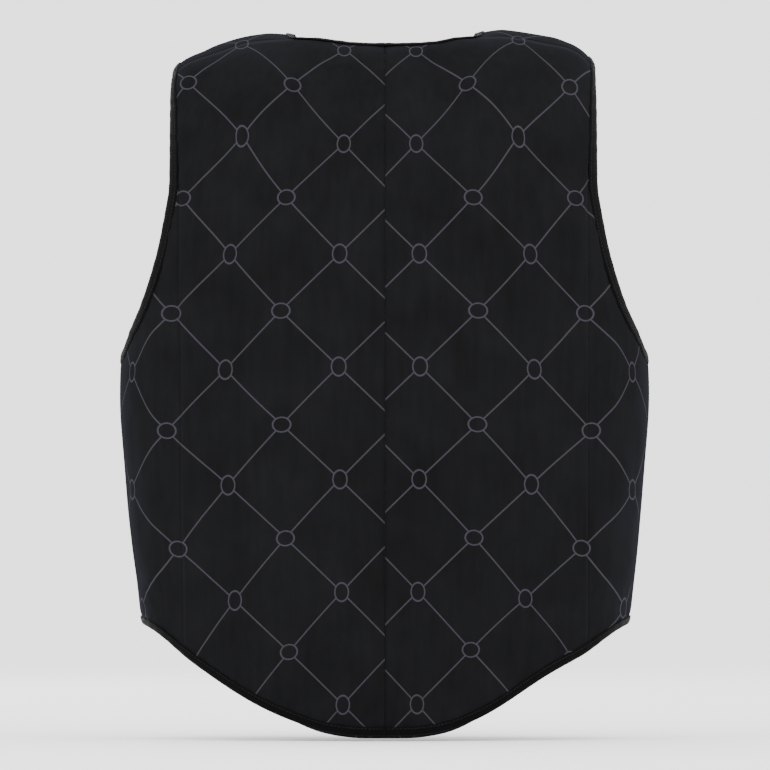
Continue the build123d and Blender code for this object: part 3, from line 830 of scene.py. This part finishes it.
def make_covers():
    """The printed panels, each with the print carried on from the one before it."""
    back, around = flat_grid(0.2 * MM, CORNER_X, False), side_grid()
    shoulder, front = shoulder_grid(NECK_X, COVER_X), flat_grid(ZIP_EDGE, CORNER_X, True)
    for side_name, side in SIDES:
        back_print = print_flat(back, side)
        cover(back, "back", side_name, side, back_print, "start")
        cover(around, "side", side_name, side, carry_on(around, back[-1], back_print[-1]))
        cover(shoulder, "shoulder", side_name, side, print_over(shoulder, back[:, -1, 0], back_print[:, -1]))
        cover(front, "front", side_name, side, print_flat(front, side, True), "end")


# ---------------------------------------------------------------- lining
LINING_DEPTH = (15.8 * MM, 16.8 * MM)
LINING_HELD = 2.5 * MM  # its edges start this far in, under the bindings


def inset(points, margin=LINING_HELD):
    """A grid that keeps away from its foot and its top, resampled at as many points."""
    height = lengths(points, 1)
    inner = np.empty_like(points)
    for c, column in enumerate(height):
        wanted = np.linspace(margin, column[-1] - margin, points.shape[1])
        for k in range(3):
            inner[c, :, k] = np.interp(wanted, column, points[c, :, k])
    return inner


def lining(name, points, side):
    """One panel of the mesh lining, with the slight sag that quilting leaves."""
    normals = outward(points)
    foot, _, start, _ = edge_distance(points)
    sag = 0.35 * MM * np.sin(2 * pi * foot / 0.06) * np.sin(2 * pi * start / 0.05)
    outer, inner = (points - normals * (depth + 0.5 * sag)[..., None] for depth in LINING_DEPTH)
    own = points - normals * LINING_DEPTH[0]
    coordinates = np.stack((lengths(own, 0), lengths(own, 1)), -1)
    piece = closed(name, outer, inner, MESH, side, coordinates)
    flat_sheet(points - normals * LINING_DEPTH[1])
    return piece


def make_linings():
    """The mesh linings, with their edges held under the bindings."""
    left_half = flat_grid(0.2 * MM, CORNER_X, False)
    back = inset(np.concatenate((left_half[::-1] * (-1, 1, 1), left_half)))
    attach(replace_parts(lining("back_lining_mesh", back, 1), "back_lining"), "back")
    panels = {
        "side": inset(side_grid()),
        "shoulder": shoulder_grid(NECK_X + LINING_HELD, COVER_X - LINING_HELD),
        "front": inset(flat_grid(ZIP_EDGE, CORNER_X, True)),
    }
    for side_name, side in SIDES:
        for part, points in panels.items():
            piece = lining(f"{part}_lining_mesh_{side_name}", points, side)
            hold(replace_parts(piece, f"{part}_lining_{side_name}"), part, side_name)


# ---------------------------------------------------------------- foam
FOAM_DEPTH = (3.4 * MM, 14.6 * MM)
FOAM_MARGIN = 11.5 * MM
FOAM_CLEAR = FOAM_MARGIN + 1 * MM  # a millimetre more along the hem and the arm openings
FOAM_STEP = 8 * MM
BLOCK_GAP = 1.5 * MM
SPINE_X, BLADE_X = 58 * MM, 112 * MM
ROW_HEIGHTS = (245 * MM, 410 * MM)
FRONT_FOAM_X, FRONT_COLUMN_X, FRONT_ROW = 17 * MM, 96 * MM, 300 * MM
FOAM_END_X = 165.5 * MM


def clearance(along, edge):
    """The height that the foam's margin takes up where it is measured square to an edge."""
    return FOAM_CLEAR * np.hypot(1, np.gradient(edge, along))


def from_hem(along, bottom):
    """A block's foot, clear of the hem."""
    return bottom + clearance(along, bottom)


def below_top(along, top):
    """A block's upper end, clear of the panel's upper edge."""
    return top - clearance(along, top)


def at(height):
    """A level end of a foam block."""
    return lambda x, edge: height + 0 * x


def foam_block(name, points, side, part):
    """A block of foam with rounded edges, a little fuller at its middle."""
    normals = outward(points)
    near = np.minimum.reduce(edge_distance(points))
    full = 0.7 * MM * (1 - np.exp(-near / 0.015))[..., None]
    outer, inner = points - normals * (FOAM_DEPTH[0] - full), points - normals * (FOAM_DEPTH[1] + full * 0.6)
    piece = closed(f"{name}_padding", outer, inner, FOAM, side)
    rounding = piece.modifiers.new("rounded edges", "BEVEL")
    rounding.width, rounding.segments, rounding.angle_limit = 2.5 * MM, 3, pi / 3
    apply_modifiers(piece)
    hold(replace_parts(piece, name), part, "left" if side > 0 else "right")


def apply_modifiers(obj):
    """Turn an object's modifiers into its mesh."""
    graph = bpy.context.evaluated_depsgraph_get()
    mesh = bpy.data.meshes.new_from_object(obj.evaluated_get(graph))
    obj.modifiers.clear()
    old, obj.data = obj.data, mesh
    bpy.data.meshes.remove(old)


def make_foam():
    """All the blocks of foam: along the spine, in columns beside it and in the fronts, and round the sides."""
    spine = SPINE_X - BLOCK_GAP
    rows = (
        ("lower", from_hem, at(ROW_HEIGHTS[0] - BLOCK_GAP)),
        ("middle", at(ROW_HEIGHTS[0] + BLOCK_GAP), at(ROW_HEIGHTS[1] - BLOCK_GAP)),
        ("upper", at(ROW_HEIGHTS[1] + BLOCK_GAP), below_top),
    )
    for row, low, high in rows:
        grid = flat_grid(-spine, spine, False, FOAM_STEP, low, high, flare=False)
        foam_block(f"spine_foam_{row}", grid, 1, "back")
    # each part's inner edge, the split between its columns and the split between its rows
    splits = {
        "back": (SPINE_X + BLOCK_GAP, BLADE_X, ROW_HEIGHTS[0]),
        "front": (FRONT_FOAM_X, FRONT_COLUMN_X, FRONT_ROW),
    }
    for side_name, side in SIDES:
        for part, (first, column_split, row_split) in splits.items():
            inner, outer = (first, column_split - BLOCK_GAP), (column_split + BLOCK_GAP, FOAM_END_X)
            lower, upper = (from_hem, at(row_split - BLOCK_GAP)), (at(row_split + BLOCK_GAP), below_top)
            for column, ends in (("inner", inner), ("outer", outer)):
                for row, limits in (("lower", lower), ("upper", upper)):
                    grid = flat_grid(*ends, part == "front", FOAM_STEP, *limits, flare=False)
                    foam_block(f"{part}_foam_{column}_{row}_{side_name}", grid, side, part)
        for part in ("back", "front"):
            grid = corner_grid(part == "front", FOAM_STEP, from_hem, below_top)
            foam_block(f"corner_foam_{part}_{side_name}", grid, side, part)
        foam_block(f"side_foam_{side_name}", side_strip(), side, "side")
        grid = shoulder_grid(NECK_X + FOAM_MARGIN, FOAM_END_X, FOAM_STEP, BEND - BLOCK_GAP)
        foam_block(f"shoulder_foam_{side_name}", grid, side, "shoulder")


def side_strip():
    """The narrow block in the flexible strip at the side."""
    ys = np.linspace(BEND - BLOCK_GAP, BLOCK_GAP - BEND, 11)[:, None]
    bottom, top = FRONT_HEM + FOAM_CLEAR, ARM_EDGE[-1, 1] - FOAM_CLEAR
    return radial(CORNER_X, ys, 0, np.linspace(bottom, top, spaced(top - bottom, FOAM_STEP))[None, :])


# ---------------------------------------------------------------- bindings
# the folded tape's section, round its outside and back along its inside: distance in from the edge, and
# height above the form's face
TAPE_OUTSIDE = MM * np.array(
    ((7.0, 0.1), (6.9, 0.75), (5.5, 0.85), (3.5, 0.6), (1.6, 0.05), (0.1, -0.9), (-0.8, -2.4), (-0.95, -5))
    + ((-0.95, -12), (-0.8, -15), (0.2, -16.7), (1.8, -17.5), (4, -17.8), (6.9, -17.8), (7.0, -17.1))
)
TAPE_INSIDE = MM * np.array(
    ((4, -17.0), (1.8, -16.6), (0.6, -15.6), (0.0, -13), (0.0, -5), (0.3, -2.9), (1.8, -1.2), (4, -0.4))
)
TAPE_SECTION = np.concatenate((TAPE_OUTSIDE, TAPE_INSIDE))
TAPE_EASING = 14  # how many times the directions along an edge are smoothed
SEAM_IN = 5.4 * MM  # how far in from the edge the stitches run


def ease(values):
    """Smooth a row of values once, in place, with its ends held."""
    values[1:-1] = (values[:-2] + 2 * values[1:-1] + values[2:]) / 4


def point_at(path, along, place):
    """Where a path is at a length along it."""
    return np.array([np.interp(place, along, path[:, k]) for k in range(3)])


def resampled(path, step):
    """A path with evenly spaced points, its kinks rounded off."""
    path = path[np.concatenate(([True], np.linalg.norm(np.diff(path, axis=0), axis=1) > 0.3 * MM))]
    along = lengths(path, 0)
    wanted = np.linspace(0, along[-1], spaced(along[-1], step))
    even = point_at(path, along, wanted).T
    for _ in range(9):
        ease(even)
    return even


def tape_frames(path, away_from):
    """At each point of an edge, the way out of the form and the way into the panel."""
    along = np.gradient(path, axis=0)
    along /= np.linalg.norm(along, axis=1, keepdims=True)
    out = outward(path)
    out -= along * (out * along).sum(1, keepdims=True)
    out /= np.linalg.norm(out, axis=1, keepdims=True)
    into = np.cross(out, along)
    reference = (0, 0, 1.0) + 0 * path if away_from is None else path - away_from
    into *= np.sign((into * reference).sum(1, keepdims=True))
    for _ in range(TAPE_EASING):
        ease(into)
        ease(out)
    return out, into


def tube(name, rings, material, side=1):
    """A closed piece through rings of points, one ring after the other."""
    links, count = rings.shape[:2]
    faces = []
    for k in range(links - 1):
        for j in range(count):
            i = (j + 1) % count
            faces.append((k * count + j, k * count + i, (k + 1) * count + i, (k + 1) * count + j))
    faces += [tuple(range(count))[::-1], tuple((links - 1) * count + j for j in range(count))]
    piece = mesh_object(name, settle(rings.reshape(-1, 3) * (side, 1, 1)), faces, material)
    return tidy_normals(piece)


def binding(name, path, away_from, side, wide=1.0):
    """Tape folded over an edge, with a row of stitches along it. Its outer half may be wider than the inner."""
    path = resampled(path, 2 * MM)
    out, into = tape_frames(path, away_from)
    along = lengths(path, 0)
    section = TAPE_SECTION.copy()
    outside = (section[:, 0] > 0) & (section[:, 1] > -0.6 * MM)
    section[outside, 0] *= wide
    ripple = 0.18 * MM * (np.sin(2 * pi * along / 0.011) + np.sin(2 * pi * along / 0.0163))[:, None]
    a = section[None, :, 0] + ripple * (section[None, :, 0] > 5 * MM)
    n = section[None, :, 1] + 0.5 * ripple
    points = path[:, None] + into[:, None] * a[..., None] + out[:, None] * n[..., None]
    laid = path[:, None] + into[:, None] * np.maximum(a, 0)[..., None]
    points += (onto_form(laid) - laid) * outside[None, :, None]
    piece = tube(name, points, TAPE, side)
    girth = lengths(section, 0)
    set_print(piece, np.stack(np.broadcast_arrays(along[:, None], girth[None, :]), -1))
    sewn = onto_form(path + into * SEAM_IN * wide) + out * 0.85 * MM
    return piece, stitch_row(name + "_stitches", sewn, side)


def tidy_normals(obj):
    """Turn all the faces of a closed piece outwards."""
    shape = bmesh.new()
    shape.from_mesh(obj.data)
    bmesh.ops.recalc_face_normals(shape, faces=shape.faces)
    shape.to_mesh(obj.data)
    shape.free()
    return obj


STITCH = (2.5 * MM, 3.2 * MM, 0.27 * MM)  # length, pitch and half thickness


def stitch_row(name, path, side):
    """Short stitches of thick thread along a path, as one piece."""
    length, pitch, radius = STITCH
    along = lengths(path, 0)
    points, faces = [], []
    angles = np.linspace(0, 2 * pi, 6, endpoint=False)
    for middle in np.arange(pitch, along[-1] - pitch, pitch):
        first, last = (point_at(path, along, middle + way * length / 2) for way in (-1, 1))
        ahead = (last - first) / np.linalg.norm(last - first)
        across = np.cross(ahead, (0.3, 0.5, 0.8))
        across /= np.linalg.norm(across)
        third = np.cross(ahead, across)
        start = len(points)
        points.append(first)
        for share in (0.18, 0.82):
            centre = first + (last - first) * share
            points += [centre + radius * (across * cos(t) + third * sin(t)) for t in angles]
        points.append(last)
        for k in range(6):
            j = (k + 1) % 6
            faces.append((start, start + 1 + j, start + 1 + k))
            faces.append((start + 1 + k, start + 1 + j, start + 7 + j, start + 7 + k))
            faces.append((start + 13, start + 7 + k, start + 7 + j))
    piece = tidy_normals(mesh_object(name, settle(np.array(points) * (side, 1, 1)), faces, THREAD))
    return piece


ROLL = (3.1 * MM, 5.5 * MM, 78 * MM)  # half height, half depth and how far it reaches from the spine


def make_hem_roll():
    """The padded tail's lower edge, which shows under the binding at the spine."""
    half_height, half_depth, reach = ROLL
    xs = np.linspace(-reach, reach, 90)
    edge = smooth(BACK_HEM, np.abs(xs))
    foot = np.stack((xs, wall(xs, edge, 1), edge), -1)
    out = outward(foot)
    fade = np.clip(1 - (xs / reach) ** 4, 0, 1) ** 0.5
    angles = np.linspace(0, 2 * pi, 25)[:-1]
    centre = foot - out * 8.5 * MM
    centre[:, 2] += 1.6 * MM - 1.4 * MM * fade
    points = centre[:, None] + out[:, None] * (np.cos(angles) * half_depth)[None, :, None]
    points[..., 2] += (np.sin(angles) * half_height)[None, :] * (0.35 + 0.65 * fade)[:, None]
    roll = tube("hem_roll", points, COVER)
    around = np.broadcast_to(angles * half_height + 0.012, points.shape[:2])
    set_print(roll, np.stack((np.abs(points[..., 0]) + 0.020, around), -1))
    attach(roll, "back")


ARM_CENTRE = np.array((0.235, 0, 0.47))
NECK_CENTRE = np.array((0, 0, 0.66))
ARM_TAPE_WIDE = 1.45  # the arm bindings' outer halves are this much wider than the others


def arm_opening(under):
    """The edge round an arm opening, from the middle of its foot, given the side panel's upper edge."""
    under = under[under[:, 2] < ARM_STRAIGHT[0] - 18 * MM]
    rise = np.linspace(*ARM_STRAIGHT, 20)
    up_back, up_front = (np.stack((ARM_X + 0 * rise, wall(ARM_X, rise, way), rise), -1) for way in (1, -1))
    arch = np.linspace(BEND, -BEND, 28)
    over = np.stack((ARM_X + 0 * arch, arch, ridge(ARM_X + 0 * arch, arch)), -1)
    loop = np.concatenate((under, up_back, over, up_front[::-1]))
    middle = int(np.argmin(np.abs(under[:, 1])))
    return np.concatenate((loop[middle:], loop[: middle + 1]))


def make_bindings():
    """The tape along the hem, round the neck and round the arm openings."""
    back, around = flat_grid(0, CORNER_X, False), side_grid()
    front = flat_grid(BINDING_END, CORNER_X, True)
    hem_path = np.concatenate((back[:, 0], around[:, 0], front[::-1, 0]))
    neck_back, neck_front = flat_grid(0, NECK_X, False)[:, -1], flat_grid(BINDING_END, NECK_X, True)[::-1, -1]
    neck_path = np.concatenate((neck_back, shoulder_grid(NECK_X, ARM_X)[0], neck_front))
    arm_path = arm_opening(around[::-1, -1])
    edges = (
        ("hem", hem_path, None, 1.0),
        ("neck", neck_path, NECK_CENTRE, 1.0),
        ("arm", arm_path, ARM_CENTRE, ARM_TAPE_WIDE),
    )
    for side_name, side in SIDES:
        for edge, path, away_from, wide in edges:
            piece, stitches = binding(f"{edge}_tape_{side_name}", path, away_from, side, wide)
            hold(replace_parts(piece, f"{edge}_binding_{side_name}"), edge, side_name)
            hold(stitches, edge, side_name)


# ---------------------------------------------------------------- trim
# the trim's places across and up, on the back or on the front
SEAM_TAPE_X = (-8 * MM, 8 * MM)
LOOP_X, LOOP_Z = (-30 * MM, 30 * MM), (548 * MM, 555 * MM)
LABEL_X, LABEL_Z = (-20 * MM, 20 * MM), (505 * MM, 535 * MM)
GUARD_X, GUARD_Z = (-32 * MM, 11 * MM), (112 * MM, 484 * MM)
ZIP_SEAM_X = 12.4 * MM
UNDER_LINING = 17.5 * MM


def flat_strip(name, material, across, up, depth, thickness, front=False, lift=None):
    """A flat piece of trim that follows the back or the front at a depth below its face."""
    xs, zs = (np.linspace(*ends, spaced(ends[1] - ends[0], 2 * MM)) for ends in (across, up))
    x, z = np.meshgrid(xs, zs, indexing="ij")
    points = np.stack((x, wall(x, z, -1 if front else 1), z), -1)
    normals = outward(points)
    top = points - normals * (depth + (0 * x if lift is None else lift(x, z)))[..., None]
    return closed(name, top, top - normals * thickness, material, 1, np.stack((x, z), -1))


def loop_bow(x, z):
    """The hanging loop stands away from the lining at its middle."""
    return 3.4 * MM * np.clip(1 - (x / 0.026) ** 2, 0, 1)


def guard_waves(x, z):
    """The zip guard waves a little, more so away from its sewn edge."""
    return 0.35 * MM * np.sin(2 * pi * z / 0.07) * ramp(np.abs(x + 0.0105), 0, 0.02)


def make_trim():
    """The seam tape, the hanging loop, the label, and what lies beside the zip."""
    tape = woven("seam_tape_weave", (12, 12, 14), (28, 28, 31))
    low, high = float(smooth(BACK_HEM, 0)) + 8 * MM, float(back_top(np.array([0.0]))[0]) - 9 * MM
    seam = flat_strip("spine_seam_tape", tape, SEAM_TAPE_X, (low, high), 2.3 * MM, 0.5 * MM)
    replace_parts(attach(seam, "back"), "back_seam_tape")
    loop = flat_strip("hanger_loop", tape, LOOP_X, LOOP_Z, UNDER_LINING, 0.9 * MM, lift=loop_bow)
    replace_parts(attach(loop, "back"), "hanging_loop")
    label = flat_strip("neck_label", blank_fabric(), LABEL_X, LABEL_Z, UNDER_LINING, 0.4 * MM)
    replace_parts(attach(label, "back"), "blank_label")
    guard_cloth = woven("guard_weave", (16, 16, 18), (34, 34, 38), 1.6 * MM)
    guard = flat_strip("zip_guard_flap", guard_cloth, GUARD_X, GUARD_Z, 18.0 * MM, 0.8 * MM, True, guard_waves)
    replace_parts(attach(guard, "front_right"), "zip_guard")
    facing_cloth = cover_fabric("facing_fabric", printed=False)
    sewn_z = np.linspace(FRONT_HEM + 8 * MM, FRONT_NECK_Z - 6 * MM, 200)
    sewn = np.stack((ZIP_SEAM_X + 0 * sewn_z, wall(ZIP_SEAM_X, sewn_z, -1) - 0.15 * MM, sewn_z), -1)
    for side_name, side in SIDES:
        edge = front_edge_facing(f"zip_edge_facing_{side_name}", facing_cloth, side)
        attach(edge, f"front_{side_name}")
        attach(stitch_row(f"zip_seam_stitches_{side_name}", sewn, side), f"front_{side_name}")


def front_edge_facing(name, material, side):
    """Fabric that closes the front edge beside the zip, from behind the zip tape to the lining."""
    zs = np.linspace(FRONT_HEM + 4 * MM, FRONT_NECK_Z - 4 * MM, 130)
    depth, z = np.meshgrid(np.linspace(3.9, 17.0, 8) * MM, zs, indexing="ij")
    y = wall(ZIP_EDGE, zs, -1)[None, :] + depth
    face = np.stack((ZIP_EDGE + 0.9 * MM + 0 * z, y, z), -1)
    return closed(name, face, face + (0.9 * MM, 0, 0), material, side, np.stack((y, z), -1))


# ---------------------------------------------------------------- zip
def give_material(node, material):
    """Change a CAD piece's material, and nothing else of it."""
    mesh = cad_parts[node].data
    if not mesh.materials:
        mesh.materials.append(material)
    for index in range(len(mesh.materials)):
        mesh.materials[index] = material


def make_zip():
    """The zip's own pieces, which are the frame's, and the cloth of its tapes."""
    tooth, metal = moulded(), dark_metal()
    for node in ("zip_teeth_left", "zip_teeth_right", "zip_retainer_box", "zip_insertion_pin"):
        give_material(node, tooth)
    for node in ("zip_slider", "zip_puller"):
        give_material(node, metal)
    cloth = woven("zip_tape_weave", (14, 14, 16), (32, 32, 36), 0.9 * MM)
    for side_name, side in SIDES:
        low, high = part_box(f"zip_tape_{side_name}")
        near, far = sorted((abs(low.x), abs(high.x)))
        # the tape's edge by the teeth is thickened by a cord
        across = np.array((0, 0.6, 1.3, 2.0, 4, 6, 8, 10, far / MM - near / MM)) * MM + near
        bead = np.array((0.0, 0.35, 0.35, 0.0, 0, 0, 0, 0, 0))[:, None] * MM
        x, z = np.meshgrid(across, np.linspace(low.z, high.z, 190), indexing="ij")
        face, back = np.stack((x, low.y - bead + 0 * z, z), -1), np.stack((x, high.y + bead + 0 * z, z), -1)
        piece = closed(f"zip_tape_cloth_{side_name}", face, back, cloth, side, np.stack((x, z), -1))
        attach(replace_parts(piece, f"zip_tape_{side_name}"), f"front_{side_name}")


# ---------------------------------------------------------------- stage
# each light's name, place, size and power
LIGHTS = (
    ("key", (1.9, 2.0, 1.7), 1.6, 25),
    ("fill", (-2.4, 1.2, 0.9), 1.8, 18),
    ("front", (0.9, -2.4, 1.6), 1.8, 24),
    ("top", (0, 0.2, 2.8), 1.8, 8),
)


def make_stage():
    """A floor, pale surroundings and the lights."""
    low, high = CAD_BOX
    size, floor_z = 40.0, low.z - 1.5 * MM
    corners = [(x * size, y * size, floor_z) for x, y in ((-1, -1), (1, -1), (1, 1), (-1, 1))]
    paint = Look("floor_paint", 0.9, colour=(1.0, 1.0, 1.0, 1.0))
    mesh_object("floor", corners, [(0, 1, 2, 3)], paint.material)
    world = bpy.data.worlds.new("studio")
    bpy.context.scene.world = world
    world.use_nodes = True
    surroundings = world.node_tree.nodes["Background"]
    surroundings.inputs["Color"].default_value = (1, 1, 1, 1)
    surroundings.inputs["Strength"].default_value = 2.4
    for name, place, size, power in LIGHTS:
        soft_light(name, place, size, power, (low + high) / 2)


def soft_light(name, place, size, power, target):
    """A square light that faces a target."""
    data = bpy.data.lights.new(name, "AREA")
    data.shape, data.size, data.energy = "SQUARE", size, power
    light = bpy.data.objects.new(name, data)
    bpy.context.scene.collection.objects.link(light)
    light.location = place
    light.rotation_euler = (target - Vector(place)).to_track_quat("-Z", "Y").to_euler()


def make_camera():
    """Square on to the back, far enough off that the view is nearly without perspective."""
    distance, frame_width, aim_z = 14.0, 0.6425, 0.2955
    data = bpy.data.cameras.new("camera")
    data.sensor_width = 36
    data.lens = data.sensor_width * distance / frame_width
    data.clip_start, data.clip_end = 0.1, 100
    camera = bpy.data.objects.new("camera", data)
    bpy.context.scene.collection.objects.link(camera)
    camera.location = (0, distance, aim_z)
    camera.rotation_euler = (pi / 2, 0, pi)
    bpy.context.scene.camera = camera


make_camera()
make_stage()
make_covers()
make_linings()
make_foam()
make_bindings()
make_hem_roll()
make_trim()
make_zip()
